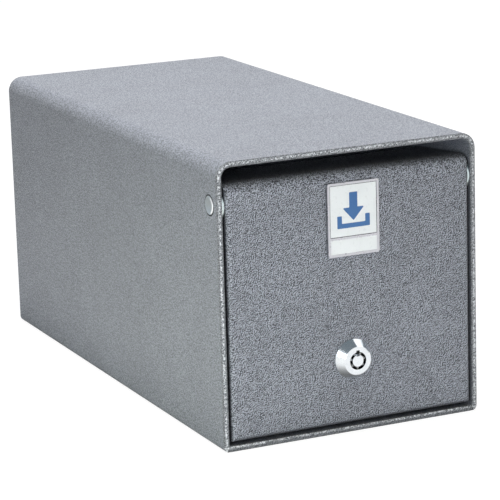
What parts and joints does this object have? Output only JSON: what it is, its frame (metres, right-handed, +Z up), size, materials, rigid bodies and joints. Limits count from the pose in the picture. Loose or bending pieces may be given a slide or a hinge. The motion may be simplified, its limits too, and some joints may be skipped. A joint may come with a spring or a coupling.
{
  "type": "drop safe",
  "caption": "Small steel drop safe: folded box, top-hinged door with a rolled drop slot above it, tubular cam lock, anti-fishing baffle and floor anchor holes.",
  "frame": {"origin": "centre of the housing's footprint, on the surface the safe stands on", "axes": "+X to the right as seen from the front, +Y towards the back plate, +Z up; the door faces -Y"},
  "size_m": [0.152, 0.3168, 0.155],
  "materials": {
    "painted_steel": "grey hammertone powder coat over steel sheet, semi-gloss",
    "painted_door": "grey hammertone powder coat over steel sheet, coarse grain, semi-gloss",
    "zinc_steel": "bright zinc plate",
    "spring_steel": "black oxide spring steel",
    "lock_chrome": "satin chrome plate",
    "lock_brass": "turned brass",
    "badge_metal": "bright pressed aluminium",
    "badge_white": "white gloss insert",
    "foam_tape": "black foam tape"
  },
  "bodies": {
    "housing": {"body_wrap": "painted_steel", "floor_plate": "painted_steel", "back_plate": "painted_steel", "slot_baffle": "painted_steel", "cam_keeper": "painted_steel", "door_stop_left": "painted_steel", "door_stop_right": "painted_steel", "pivot_pin_left": "zinc_steel", "pivot_pin_right": "zinc_steel", "pivot_washer_left": "zinc_steel", "pivot_washer_right": "zinc_steel", "pin_clip_left": "spring_steel", "pin_clip_right": "spring_steel"},
    "door": {"door_panel": "painted_door", "lock_shell": "lock_chrome", "lock_washer": "zinc_steel", "lock_nut": "zinc_steel", "lock_bushing": "lock_brass", "driver_pins": "lock_brass", "bushing_pin": "spring_steel", "badge_frame": "badge_metal", "badge_panel": "badge_white", "badge_pad": "foam_tape"},
    "lock_core": {"lock_plug": "lock_chrome", "tumbler_pins": "zinc_steel", "stop_washer": "zinc_steel", "lock_cam": "zinc_steel", "cam_split_washer": "spring_steel", "cam_nut": "zinc_steel"}
  },
  "joints": [
    {"name": "door_swing", "type": "hinge", "parent": "housing", "child": "door", "pos_m": [0, -0.1455, 0.1313], "axis": [-1, 0, 0], "range_deg": [0, 115]},
    {"name": "lock_turn", "type": "hinge", "parent": "door", "child": "lock_core", "pos_m": [0, -0.1618, 0.0408], "axis": [0, 1, 0], "range_deg": [0, 90]}
  ]
}
